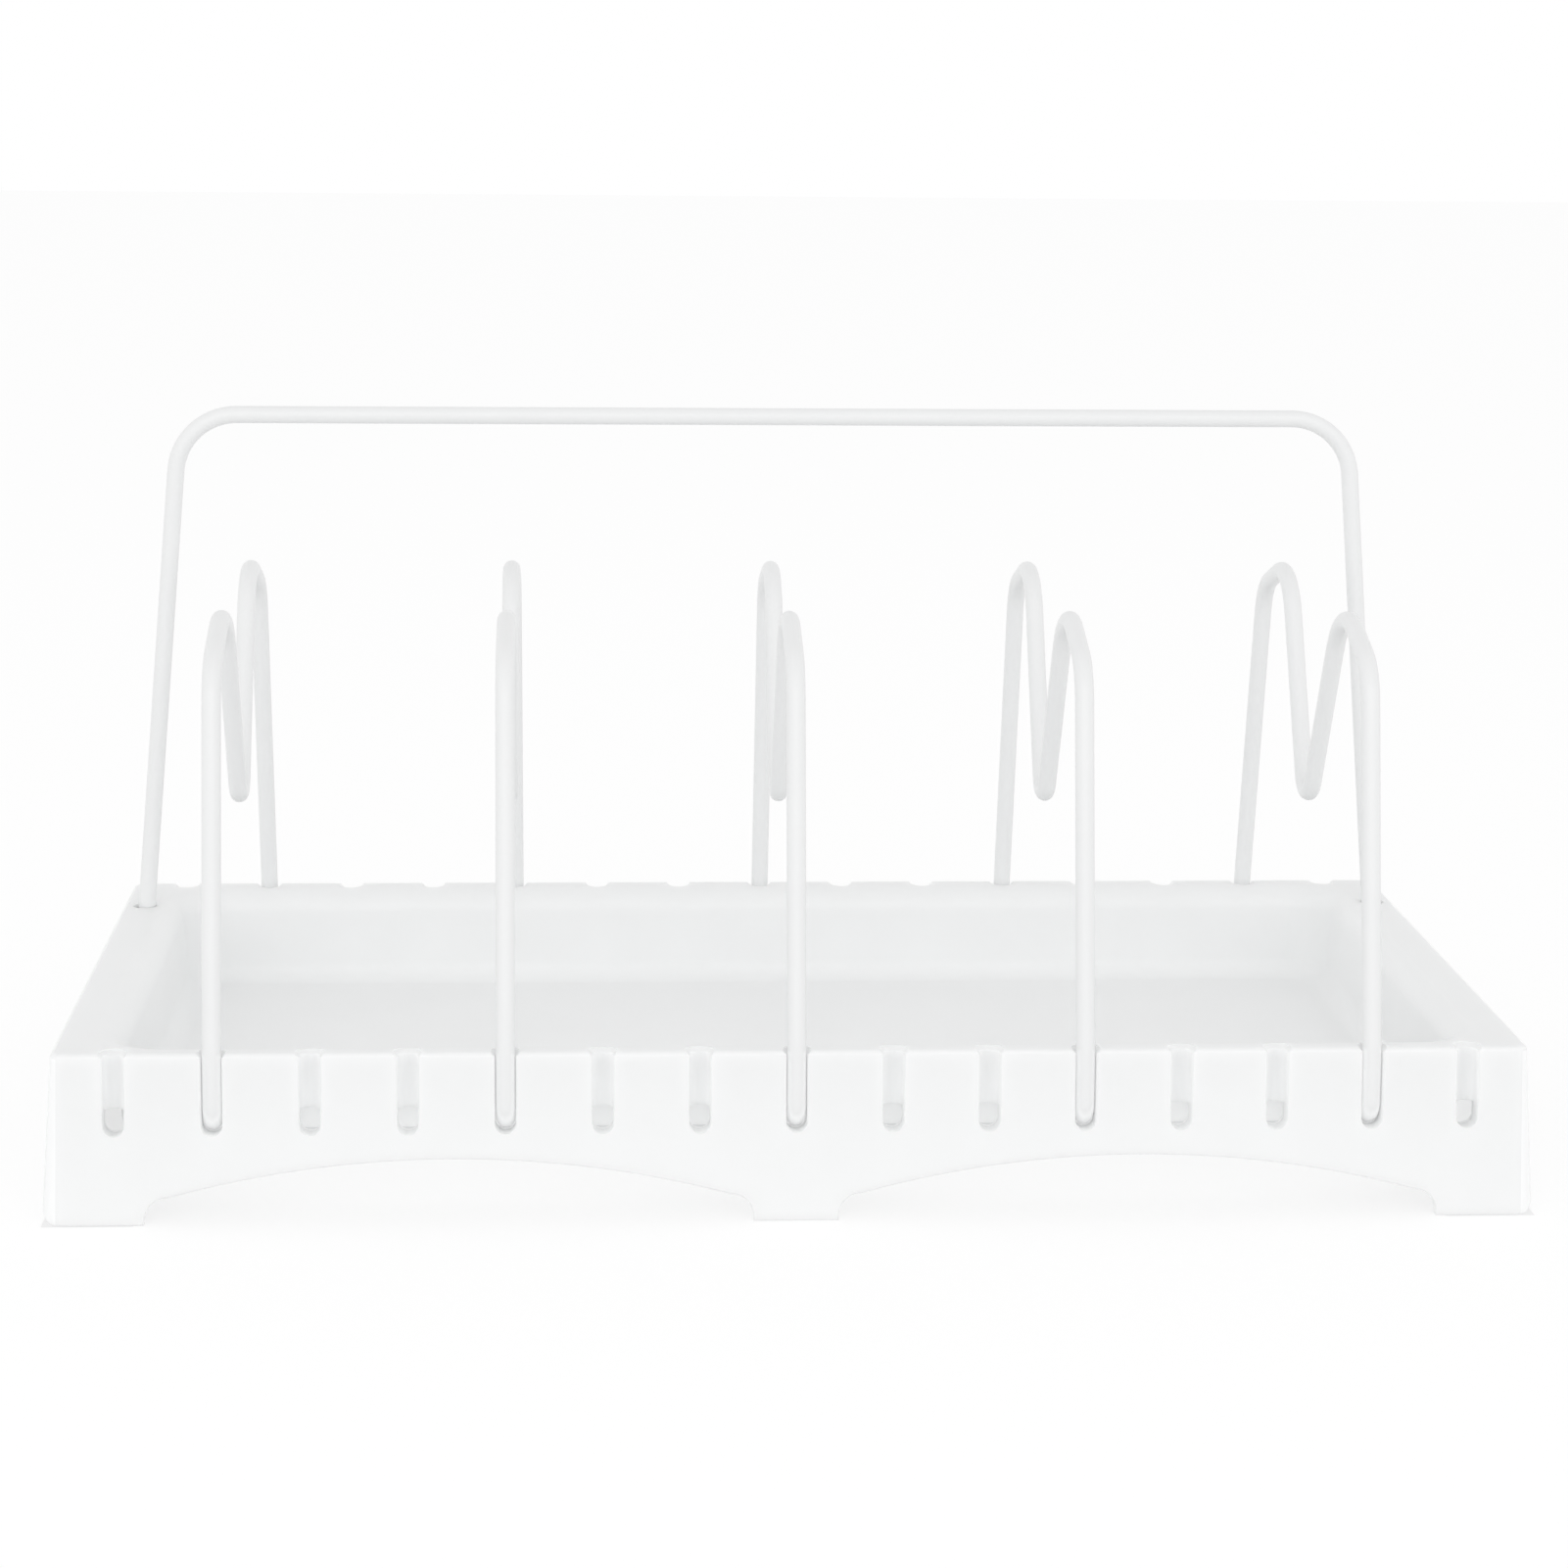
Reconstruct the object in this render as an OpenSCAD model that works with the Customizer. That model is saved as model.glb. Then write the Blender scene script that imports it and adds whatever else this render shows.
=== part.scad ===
// Pot lid organizer: a moulded tray with clip-in wire dividers and a lift-out wire bow.
// Origin at the middle of the footprint, on the surface it stands on. X runs along the tray,
// the front faces -Y, and Z is up. Millimetres and degrees.

/* [Tray] */
// Length over the rim
tray_l = 382; // [320:1:460]
// Width over the rim
tray_w = 196; // [170:1:240]
// Height from the feet to the top of the rim
tray_h = 44.5; // [42:0.5:56]
// Lean of the outer walls
wall_draft = 4; // [2:0.5:6]
// Thickness of the moulded walls
wall_t = 2.2; // [1.8:0.1:2.6]
// Distance from the rim's edge in to the basin's wall, at both ends
end_rim_w = 16.5; // [14:0.5:20]
// Distance from the rim's edge in to the basin's wall, on the long sides
side_rim_w = 11.5; // [11:0.5:18]
// Radius of the outer corners at the rim, seen from above
corner_r = 3; // [2:0.5:8]
// Rounding of the rim's outer edge
rim_edge_r = 1.2; // [0.8:0.1:2]
// Rounding where the rim turns down into the basin
lip_r = 7; // [4:0.5:8]

/* [Basin] */
// Height of the basin floor above the surface
floor_z = 17; // [15:0.5:22]
// Thickness of the basin floor
floor_t = 2.2; // [1.8:0.1:3]
// Radius of the basin's corners between its walls, seen from above
basin_corner_r = 12; // [10:0.5:20]
// Fillet between the basin's walls and its floor
basin_fillet_r = 6; // [4:0.5:8]
// Lean of the basin's walls
basin_draft = 4; // [2:0.5:6]

/* [Slots] */
// Distance from slot to slot
slot_pitch = 25; // [20:0.5:32]
// Least distance from the rim's end to the first slot
slot_end_gap = 14; // [12:0.5:20]
// Depth of the groove behind the outer face
groove_depth = 5.2; // [5:0.1:6]
// Clearance between wire and groove, on the radius
groove_clear = 0.2; // [0.15:0.05:0.3]
// Height of the clip hole's lowest point
hole_z = 23.3; // [22.5:0.1:25]
// Height of the clip hole
hole_h = 6.3; // [6:0.1:7.5]
// Rounding of the groove's mouth at the rim
mouth_r = 1; // [0.6:0.1:2]

/* [Feet] */
// Length of each end foot at the floor
end_foot_l = 23.5; // [18:0.5:32]
// Length of each middle foot at the floor
mid_foot_l = 22; // [16:0.5:32]
// Height of the arches' crowns
arch_h = 16.8; // [13:0.1:19]
// Height at which an arch springs from its feet
arch_spring_z = 7.1; // [5:0.1:9]
// Rounding between foot and arch
foot_r = 6; // [4:0.5:7]
// Rounding of the tray's lower corners, seen from the front
low_corner_r = 4; // [2:0.5:6]

/* [Wire] */
// Diameter of the coated wire
wire_d = 5; // [4:0.1:5.4]

/* [Dividers] */
// Height of a crest's corner, where its two straights would meet
crest_z = 152.8; // [146:0.2:170]
// Distance from the rim's edge in to a crest's corner
crest_in = 60; // [54:1:66]
// Drop from a crest's corner to a shoulder's corner
shoulder_drop = 12.3; // [9:0.1:18]
// Distance from the rim's edge in to a shoulder's corner
shoulder_in = 23; // [18:0.5:26]
// Drop from a crest's corner to the valley's corner
valley_drop = 68; // [50:1:76]
// Bend radius at the shoulders, to the wire's middle
shoulder_r = 15; // [10:1:18]
// Bend radius at the crests, to the wire's middle
crest_r = 20; // [12:1:22]
// Bend radius at the valley, to the wire's middle
valley_r = 7.5; // [6:0.5:12]
// Bend radius of the clip at a leg's lowest end, to the wire's middle
clip_r = 4; // [3.5:0.1:4.5]
// How far the clip's end reaches in behind the groove's floor
clip_reach = 3.2; // [2.8:0.1:3.4]
// Bend radius where a leg leaves the groove, to the wire's middle
leg_bend_r = 30; // [15:1:40]
// Distance below a shoulder's corner at which the springy leg starts
leg_start = 14; // [12:0.5:20]
// Gap between the springy leg and the divider's middle
leg_gap = 0.04; // [0.02:0.01:0.1]

/* [Bow] */
// Height of the bow's top
bow_h = 193.5; // [175:0.5:230]
// Distance from the rim's back edge to the bow
bow_from_back = 30; // [20:1:50]
// Distance from the rim's end to the bow's leg, at the rim
bow_inset = 6.8; // [6.4:0.1:8]
// Lean of the bow's legs
bow_lean = 5; // [3:0.5:6]
// Bend radius of the bow's corners, to the wire's middle
bow_r = 18; // [12:1:30]
// Depth that the bow's legs stand in their sockets
bow_plug = 15; // [10:0.5:16]
// Clearance between the bow's leg and its socket, on the radius
bow_clear = 0.2; // [0.1:0.05:0.4]
// Gap between the leg's end and the socket's floor
bow_seat_gap = 0.1; // [0.05:0.05:0.3]

/* [Hidden] */

// Length by which a cut runs past the face that it opens
past = 1;
// Sides of round wires and cuts, of the tray's rounded corners, of a bend's path and of an arch
wire_fn = 40;
corner_fn = 32;
bend_fn = 96;
arch_fn = 360;
// Flats that make up the rim's outer round, the basin's fillet and the lip round the basin
edge_steps = 6;
fillet_steps = 8;
lip_steps = 9;
// The hollow under the rim has at least this radius in its corners
least_corner_r = 1;

// Pieces of one solid run this far into each other, and a bend of wire is thicker by a hair, so that
// it takes its straights in
lap = 0.3;
bend_more = 0.02;

white = "#f3f4f4";
wire_white = "#eff0f0";

// The outer face leans out by this much for each millimetre down
wall_slope = tan(wall_draft);
basin_slope = tan(basin_draft);

wire_r = wire_d / 2;
groove_r = wire_r + groove_clear;
// Depth of the groove's middle, and of the wire's, behind the outer face
groove_mid = groove_depth - groove_r;

// Slots lie evenly about the middle, as many as fit
slots_aside = floor((tray_l / 2 - slot_end_gap) / slot_pitch);
// Two dividers stand on each side of the middle one, spread evenly over the slots
dividers_aside = 2;
slots_apart = floor(slots_aside / dividers_aside);
function divider_x(i) = (i - 1 - dividers_aside) * slots_apart * slot_pitch;

// Helpers for wires bent in a plane: points as [across, up]
function unit(v) = v / norm(v);
function heading(v) = atan2(v[1], v[0]);
function wrapped(d) = d > 180 ? d - 360 : (d < -180 ? d + 360 : d);
// Turn of the wire at a corner, to the left above zero, and what the bend takes off each straight
function turn_at(p, i) = wrapped(heading(p[i + 1] - p[i]) - heading(p[i] - p[i - 1]));
function taken_at(p, radii, i) =
    i == 0 || i == len(p) - 1 ? 0 : radii[i] * tan(abs(turn_at(p, i)) / 2);

// Bend to the left, from the origin, starting along X
module left_bend(r, by) {
    translate([0, r, 0])
        rotate([0, 0, -90])
            rotate_extrude(angle = by, $fn = bend_fn)
                translate([r, 0])
                    circle(r = wire_r + bend_more, $fn = wire_fn);
}

// Wire from corner i to its end, drawn from the origin along X: a straight, a bend, then the rest
module wire_from(points, radii, i) {
    run = norm(points[i + 1] - points[i]) - taken_at(points, radii, i) - taken_at(points, radii, i + 1);
    before = i > 0 ? lap : 0;
    after = i + 2 < len(points) ? lap : 0;
    translate([-before, 0, 0])
        rotate([0, 90, 0])
            cylinder(h = before + run + after, r = wire_r, $fn = wire_fn);
    if (i + 2 < len(points)) {
        by = turn_at(points, i + 1);
        r = radii[i + 1];
        side = sign(by);
        translate([run, 0, 0]) {
            mirror([0, side < 0 ? 1 : 0, 0]) left_bend(r, abs(by));
            translate([0, side * r, 0])
                rotate([0, 0, by])
                    translate([0, -side * r, 0])
                        wire_from(points, radii, i + 1);
        }
    }
}

// Wire along corner points, with a bend radius at each inner corner
module bent_wire(points, radii) {
    translate([points[0][0], points[0][1], 0])
        rotate([0, 0, heading(points[1] - points[0])])
            wire_from(points, radii, 0);
}

// A convex block with rounded upright corners, from one corner's outline turned about its own axis
module corner_block(half_l, half_w) {
    hull()
        for (sx = [-1, 1], sy = [-1, 1])
            translate([sx * half_l, sy * half_w, 0])
                rotate_extrude($fn = corner_fn) children();
}

// Points along a round about a middle, from one angle to another
function round_points(mid, r, from, to, steps) =
    [for (i = [0 : steps]) let (a = from + (to - from) * i / steps) mid + r * [cos(a), sin(a)]];

// Outline of the outer skirt's corner, with the rounded rim edge
module skirt_outline() {
    polygon(concat(
        [[0, 0], [corner_r + tray_h * wall_slope, 0]],
        round_points([corner_r - rim_edge_r, tray_h - rim_edge_r], rim_edge_r, 0, 90, edge_steps),
        [[0, tray_h]]
    ));
}

// The hollow under the rim lies one wall inside the skirt, and its corners are never quite sharp
hollow_corner_r = max(corner_r - wall_t, least_corner_r);

module hollow_outline() {
    polygon([
        [0, -past],
        [hollow_corner_r + (tray_h + past) * wall_slope, -past],
        [hollow_corner_r + wall_t * wall_slope, tray_h - wall_t],
        [0, tray_h - wall_t]
    ]);
}

// Middles of the basin's corners
basin_mid_x = tray_l / 2 - end_rim_w - basin_corner_r;
basin_mid_y = tray_w / 2 - side_rim_w - basin_corner_r;

// Middle of the lip's round, out from a corner's middle and up
lip_mid = [basin_corner_r + lip_r / cos(basin_draft), tray_h - lip_r];

// Outline of the basin out from a corner's middle, thickened by a wall for its underside. It starts
// as far inside the corner's middle as told.
module basin_outline(thick, low, high, inside) {
    low_r = basin_corner_r + (low - lip_mid[1]) * basin_slope + thick / cos(basin_draft);
    fillet = basin_fillet_r + thick;
    // The fillet ends where the leaning wall begins
    fillet_mid = [low_r - fillet * (1 / cos(basin_draft) - basin_slope), low + fillet];
    polygon(concat(
        [[-inside, low]],
        round_points(fillet_mid, fillet, -90, -basin_draft, fillet_steps),
        round_points(lip_mid, lip_r - thick, 180 - basin_draft, 90, lip_steps),
        [[lip_mid[0], high], [-inside, high]]
    ));
}

// The basin with its lip: four rounded corners, and blocks between them along and across the tray
module basin_block(thick, low, high) {
    for (sx = [0, 1], sy = [0, 1])
        mirror([sx, 0, 0]) mirror([0, sy, 0])
            translate([basin_mid_x, basin_mid_y, 0])
                rotate_extrude(angle = 90, $fn = bend_fn)
                    basin_outline(thick, low, high, 0);
    for (s = [0, 1])
        mirror([0, s, 0])
            translate([-basin_mid_x, basin_mid_y, 0])
                rotate([90, 0, 90])
                    linear_extrude(2 * basin_mid_x)
                        basin_outline(thick, low, high, basin_mid_y + lap);
    for (s = [0, 1])
        mirror([s, 0, 0])
            translate([basin_mid_x, basin_mid_y, 0])
                rotate([90, 0, 0])
                    linear_extrude(2 * basin_mid_y)
                        basin_outline(thick, low, high, lap);
}

// Places things against the front wall's outer face: x along it, y in behind it, z up it from the rim
module on_face(x, side) {
    mirror([0, side > 0 ? 1 : 0, 0])
        translate([x, -tray_w / 2, tray_h])
            rotate([-wall_draft, 0, 0])
                children();
}

// Distance down the leaning face for a height above the surface
function down_face(z) = (tray_h - z) / cos(wall_draft);

// Wall that wraps round the back of one groove
module slot_back() {
    translate([0, groove_mid, -down_face(hole_z - wall_t)])
        cylinder(h = down_face(hole_z - wall_t), r = groove_r + wall_t, $fn = wire_fn);
}

// Groove with its rounded mouth, running a little way into the clip hole below it
module slot_cut() {
    groove_l = down_face(hole_z + hole_h) + lap;
    translate([0, groove_mid, -groove_l])
        cylinder(h = groove_l + past, r = groove_r, $fn = wire_fn);
    translate([-groove_r, -past, -groove_l])
        cube([2 * groove_r, groove_mid + past, groove_l + past]);
    translate([0, groove_mid, 0])
        rotate([90, 0, 0])
            linear_extrude(groove_mid + past)
                difference() {
                    translate([-groove_r - mouth_r, -mouth_r])
                        square([2 * (groove_r + mouth_r), mouth_r + past]);
                    for (s = [-1, 1])
                        translate([s * (groove_r + mouth_r), -mouth_r])
                            circle(r = mouth_r, $fn = wire_fn);
                }
    translate([0, groove_depth + wall_t + past, 0])
        rotate([90, 0, 0])
            linear_extrude(groove_depth + wall_t + 2 * past)
                clip_hole();
}

// Clip hole: flat top, straight sides, round bottom
module clip_hole() {
    translate([0, -down_face(hole_z) + groove_r])
        circle(r = groove_r, $fn = wire_fn);
    translate([-groove_r, -down_face(hole_z) + groove_r])
        square([2 * groove_r, hole_h / cos(wall_draft) - groove_r]);
}

module each_slot() {
    for (side = [-1, 1], i = [-slots_aside : slots_aside])
        on_face(i * slot_pitch, side) children();
}

// One arch between an end foot and the middle foot
module arch_outline() {
    low_x = mid_foot_l / 2;
    high_x = tray_l / 2 - end_foot_l;
    half = (high_x - low_x) / 2 - foot_r;
    rise = arch_h - arch_spring_z;
    arch_r = (half * half + rise * rise) / (2 * rise);
    translate([(low_x + high_x) / 2, 0]) {
        intersection() {
            translate([-half, arch_spring_z - past]) square([2 * half, rise + 2 * past]);
            translate([0, arch_h - arch_r]) circle(r = arch_r, $fn = arch_fn);
        }
        translate([-half, -past]) square([2 * half, arch_spring_z + past]);
        for (s = [-1, 1]) {
            translate([s * half, arch_spring_z - foot_r]) circle(r = foot_r, $fn = wire_fn);
            translate([s * (half + foot_r / 2) - foot_r / 2, -past])
                square([foot_r, arch_spring_z - foot_r + past]);
        }
    }
}

module arches() {
    reach = wall_t + tray_h * wall_slope + past;
    for (sx = [0, 1], sy = [0, 1])
        mirror([sx, 0, 0]) mirror([0, sy, 0])
            translate([0, -tray_w / 2 + wall_t + past, 0])
                rotate([90, 0, 0])
                    linear_extrude(reach + past) arch_outline();
}

// What a rounded lower corner takes off at the tray's right end, along the whole width
module low_corner() {
    mid_x = tray_l / 2 + tray_h * wall_slope - low_corner_r * (wall_slope + 1 / cos(wall_draft));
    translate([mid_x, tray_w, 0])
        rotate([90, 0, 0])
            linear_extrude(2 * tray_w)
                difference() {
                    translate([0, -past])
                        square([low_corner_r + 2 * past, low_corner_r * (1 + sin(wall_draft)) + past]);
                    translate([0, low_corner_r]) circle(r = low_corner_r, $fn = wire_fn);
                }
}

// The bow's legs splay, so each socket is longer than the wire by the splay over its depth
bow_x = tray_l / 2 - bow_inset;
bow_y = tray_w / 2 - bow_from_back;
bow_splay = bow_plug * tan(bow_lean);
socket_r = wire_r + bow_clear;
socket_floor_z = tray_h - bow_plug - bow_seat_gap - wire_r * sin(bow_lean);

// Upright shape with round ends, long enough for the splayed leg
module socket_shape(r, low, high) {
    translate([0, bow_y, low]) {
        for (x = [bow_x, bow_x + bow_splay])
            translate([x, 0, 0]) cylinder(h = high - low, r = r, $fn = wire_fn);
        translate([bow_x, -r, 0]) cube([bow_splay, 2 * r, high - low]);
    }
}

module both_ends() {
    for (s = [0, 1]) mirror([s, 0, 0]) children();
}

module tray() {
    color(white) difference() {
        corner_block(tray_l / 2 - corner_r, tray_w / 2 - corner_r) skirt_outline();
        difference() {
            corner_block(tray_l / 2 - wall_t - hollow_corner_r, tray_w / 2 - wall_t - hollow_corner_r)
                hollow_outline();
            basin_block(wall_t, floor_z - floor_t, tray_h);
            each_slot() slot_back();
            both_ends() socket_shape(socket_r + wall_t, socket_floor_z - wall_t, tray_h);
        }
        basin_block(0, floor_z, tray_h + past);
        each_slot() slot_cut();
        both_ends() socket_shape(socket_r, socket_floor_z, tray_h + past);
        arches();
        both_ends() low_corner();
    }
}

// The front half of a divider, as [across, up] with the front negative
clip_z = hole_z + groove_r;
function wire_y(z) = -(tray_w / 2 + (tray_h - z) * wall_slope - groove_mid / cos(wall_draft));
leg_foot = [wire_y(clip_z), clip_z];
leg_rim = [wire_y(tray_h), tray_h];
shoulder = [shoulder_in - tray_w / 2, crest_z - shoulder_drop];
crest = [crest_in - tray_w / 2, crest_z];
valley = [0, crest_z - valley_drop];
leg_way = unit(shoulder - leg_rim);
middle_start = shoulder - leg_way * leg_start;
leg_top = middle_start - leg_way * leg_gap;
clip_end = [leg_foot[0] + groove_depth - groove_mid + wall_t + clip_reach, clip_z];

// A divider is drawn upright in its own plane, then stood across the tray
module across_tray(i) {
    translate([divider_x(i), 0, 0])
        rotate([90, 0, 90])
            children();
}

module divider_middle(i) {
    back = function(p) [-p[0], p[1]];
    color(wire_white)
        across_tray(i)
            bent_wire(
                [middle_start, shoulder, crest, valley, back(crest), back(shoulder), back(middle_start)],
                [0, shoulder_r, crest_r, valley_r, crest_r, shoulder_r, 0]
            );
}

module divider_leg(i, side) {
    color(wire_white)
        mirror([0, side > 0 ? 1 : 0, 0])
            across_tray(i)
                bent_wire([clip_end, leg_foot, leg_rim, leg_top], [0, clip_r, leg_bend_r, 0]);
}

module bow() {
    low = [bow_x + bow_splay, tray_h - bow_plug];
    high = [bow_x - (bow_h - wire_r - tray_h) * tan(bow_lean), bow_h - wire_r];
    left = function(p) [-p[0], p[1]];
    color(wire_white)
        translate([0, bow_y, 0])
            rotate([90, 0, 0])
                bent_wire([left(low), left(high), high, low], [0, bow_r, bow_r, 0]);
}

tray();
bow();
divider_middle(1);  // divider_1
divider_leg(1, -1);  // divider_1_front_leg
divider_leg(1, 1);  // divider_1_back_leg
divider_middle(2);  // divider_2
divider_leg(2, -1);  // divider_2_front_leg
divider_leg(2, 1);  // divider_2_back_leg
divider_middle(3);  // divider_3
divider_leg(3, -1);  // divider_3_front_leg
divider_leg(3, 1);  // divider_3_back_leg
divider_middle(4);  // divider_4
divider_leg(4, -1);  // divider_4_front_leg
divider_leg(4, 1);  // divider_4_back_leg
divider_middle(5);  // divider_5
divider_leg(5, -1);  // divider_5_front_leg
divider_leg(5, 1);  // divider_5_back_leg
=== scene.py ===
import math

import bmesh
import bpy
from mathutils import Matrix, Vector


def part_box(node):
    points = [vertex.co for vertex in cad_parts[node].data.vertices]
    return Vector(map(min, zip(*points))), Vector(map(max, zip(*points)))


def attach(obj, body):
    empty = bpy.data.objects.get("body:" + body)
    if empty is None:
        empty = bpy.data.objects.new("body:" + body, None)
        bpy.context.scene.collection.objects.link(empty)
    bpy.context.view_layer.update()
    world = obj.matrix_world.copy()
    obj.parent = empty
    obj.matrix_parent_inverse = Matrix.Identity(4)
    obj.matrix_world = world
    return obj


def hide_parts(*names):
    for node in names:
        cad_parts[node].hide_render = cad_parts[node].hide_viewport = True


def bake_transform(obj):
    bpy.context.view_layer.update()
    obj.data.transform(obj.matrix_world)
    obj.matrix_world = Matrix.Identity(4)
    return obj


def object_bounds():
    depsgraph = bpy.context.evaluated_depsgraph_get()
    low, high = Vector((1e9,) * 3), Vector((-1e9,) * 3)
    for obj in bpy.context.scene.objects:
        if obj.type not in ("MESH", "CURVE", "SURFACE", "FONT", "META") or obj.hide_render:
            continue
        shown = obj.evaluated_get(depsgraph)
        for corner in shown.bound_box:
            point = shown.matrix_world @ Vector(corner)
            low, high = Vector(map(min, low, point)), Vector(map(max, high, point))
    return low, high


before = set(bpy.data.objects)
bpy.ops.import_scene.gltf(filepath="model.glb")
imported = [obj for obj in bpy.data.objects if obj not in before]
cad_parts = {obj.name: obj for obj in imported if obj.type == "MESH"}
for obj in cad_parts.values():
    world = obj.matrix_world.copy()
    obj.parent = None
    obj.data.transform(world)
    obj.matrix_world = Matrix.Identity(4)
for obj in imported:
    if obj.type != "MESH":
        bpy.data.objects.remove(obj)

bl_info = {
    "name": "Pot lid organizer",
    "version": (1, 0, 0),
    "blender": (4, 5, 0),
    "location": "3D View > Sidebar > Lid rack",
    "description": "White rack for pot lids: a moulded tray, five wire dividers and a wire bow",
    "category": "Add Mesh",
}

PANEL_TAB = "Lid rack"
# Side of the square photograph, in pixels
PHOTO_SIDE = 1601
MM = 0.001
# Length by which a cutting shape runs past the surface that it opens
PAST = 0.001
# Length by which a groove runs into its clip hole
LAP = 0.0003
# Edges shorter than this are taken away
SLIVER = 1e-6
# Edges that turn by more than these angles stay sharp
TRAY_CREASE = math.radians(33)
WIRE_CREASE = math.radians(50)
# Steps of a wire's rounded end
END_STEPS = 5

FRAME_LOW, FRAME_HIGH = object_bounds()
TRAY_LOW, TRAY_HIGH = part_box("tray")
BOW_LOW, BOW_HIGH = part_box("bow")
WALL_DRAFT = math.radians(4)
DIVIDERS = sorted(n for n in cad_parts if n.startswith("divider_") and n.count("_") == 1)


def millimetres(name, description, default):
    """A length property whose default is given in millimetres."""
    return bpy.props.FloatProperty(
        name=name, description=description, default=default * MM, min=0.0, precision=5, unit="LENGTH"
    )


def angle(name, description, degrees):
    """An angle property whose default is given in degrees."""
    return bpy.props.FloatProperty(
        name=name, description=description, default=math.radians(degrees), precision=3, unit="ROTATION"
    )


def share(name, description, default):
    """A property from 0 to 1."""
    return bpy.props.FloatProperty(name=name, description=description, default=default, min=0.0, max=1.0)


def colour(name, description, default):
    """A colour property in linear values."""
    return bpy.props.FloatVectorProperty(
        name=name, description=description, default=default, min=0.0, max=1.0, size=3, subtype="COLOR"
    )


class LidRackTray(bpy.types.PropertyGroup):
    """Sizes of the moulded tray."""

    draft: angle("Draft", "Lean of the outer walls", math.degrees(WALL_DRAFT))
    wall: millimetres("Wall", "Thickness of the moulded walls", 2.2)
    end_rim: millimetres("End rim", "Distance from the rim's edge in to the basin's end walls", 16.5)
    side_rim: millimetres("Side rim", "Distance from the rim's edge in to the basin's long walls", 11.5)
    corner: millimetres("Outer corner", "Radius of the outer corners at the rim", 3)
    inner_corner: millimetres("Inner corner", "Radius of the corners inside the skirt", 1)
    rim_edge: millimetres("Rim edge", "Rounding of the rim's outer edge", 1.2)
    lip: millimetres("Lip", "Rounding where the rim turns down into the basin", 7)
    foot_edge: millimetres("Foot edge", "Rounding of the skirt's lowest edges", 0.3)
    floor_height: millimetres("Floor height", "Height of the basin's floor", 17)
    basin_corner: millimetres("Basin corner", "Radius of the basin's corners between its walls", 12)
    basin_fillet: millimetres("Basin fillet", "Fillet between the basin's walls and its floor", 6)
    basin_draft: angle("Basin draft", "Lean of the basin's walls", 4)
    slot_pitch: millimetres("Slot pitch", "Distance from slot to slot", 25)
    slots_aside: bpy.props.IntProperty(
        name="Slots aside", description="Slots on each side of the middle one", default=7, min=1
    )
    groove_depth: millimetres("Groove depth", "Depth of a groove behind the outer face", 5.2)
    groove_clear: millimetres("Groove clearance", "Clearance between wire and groove", 0.2)
    groove_edge: millimetres("Groove edge", "Rounding of a groove's long edges", 0.7)
    mouth: millimetres("Mouth", "Depth and widening of a groove's mouth at the rim", 1)
    hole_low: millimetres("Hole height", "Height of a clip hole's lowest point", 23.3)
    hole_tall: millimetres("Hole", "Height of a clip hole", 6.3)
    small_edge: millimetres("Small edge", "Rounding of the edges of holes, sockets and arches", 0.35)
    end_foot: millimetres("End foot", "Length of each end foot, from the rim's end", 23.5)
    mid_foot: millimetres("Middle foot", "Length of each middle foot", 22)
    arch_height: millimetres("Arch", "Height of the arches' crowns", 16.8)
    arch_spring: millimetres("Arch spring", "Height at which an arch springs from its feet", 7.1)
    foot_round: millimetres("Foot round", "Rounding between foot and arch", 6)
    low_corner: millimetres("Low corner", "Rounding of the lower corners, seen from the front", 4)


class LidRackWires(bpy.types.PropertyGroup):
    """Sizes of the coated wires."""

    thick: millimetres("Wire", "Diameter of the coated wire", 5)
    end_round: millimetres("End round", "Rounding of a wire's ends", 1.2)
    crest_height: millimetres("Crest height", "Height of a crest's corner", 152.8)
    crest_in: millimetres("Crest in", "Distance from the rim's edge in to a crest's corner", 60)
    shoulder_drop: millimetres("Shoulder drop", "Drop from a crest's corner to a shoulder's", 12.3)
    shoulder_in: millimetres("Shoulder in", "Distance from the rim's edge in to a shoulder's corner", 23)
    valley_drop: millimetres("Valley drop", "Drop from a crest's corner to the valley's", 68)
    shoulder_bend: millimetres("Shoulder bend", "Bend radius at the shoulders", 15)
    crest_bend: millimetres("Crest bend", "Bend radius at the crests", 20)
    valley_bend: millimetres("Valley bend", "Bend radius at the valley", 7.5)
    clip_bend: millimetres("Clip bend", "Bend radius of the clip at a leg's lowest end", 4)
    clip_reach: millimetres("Clip reach", "How far the clip reaches in behind the groove's floor", 3.2)
    leg_bend: millimetres("Leg bend", "Bend radius where a leg leaves the groove", 30)
    spring_start: millimetres("Spring start", "Distance below a shoulder's corner where a leg flexes", 14)
    spring_length: millimetres("Spring length", "Length over which a leg flexes", 34)
    bow_bend: millimetres("Bow bend", "Bend radius of the bow's corners", 18)
    bow_lean: angle("Bow lean", "Lean of the bow's legs", 5)
    bow_plug: millimetres("Bow plug", "Depth that the bow's legs stand in their sockets", 15)
    bow_clear: millimetres("Bow clearance", "Clearance between the bow's leg and its socket", 0.2)
    bow_seat_gap: millimetres("Bow seat gap", "Gap between the leg's end and the socket's floor", 0.1)
    sides: bpy.props.IntProperty(name="Sides", description="Sides of a round wire", default=28, min=8)


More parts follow.
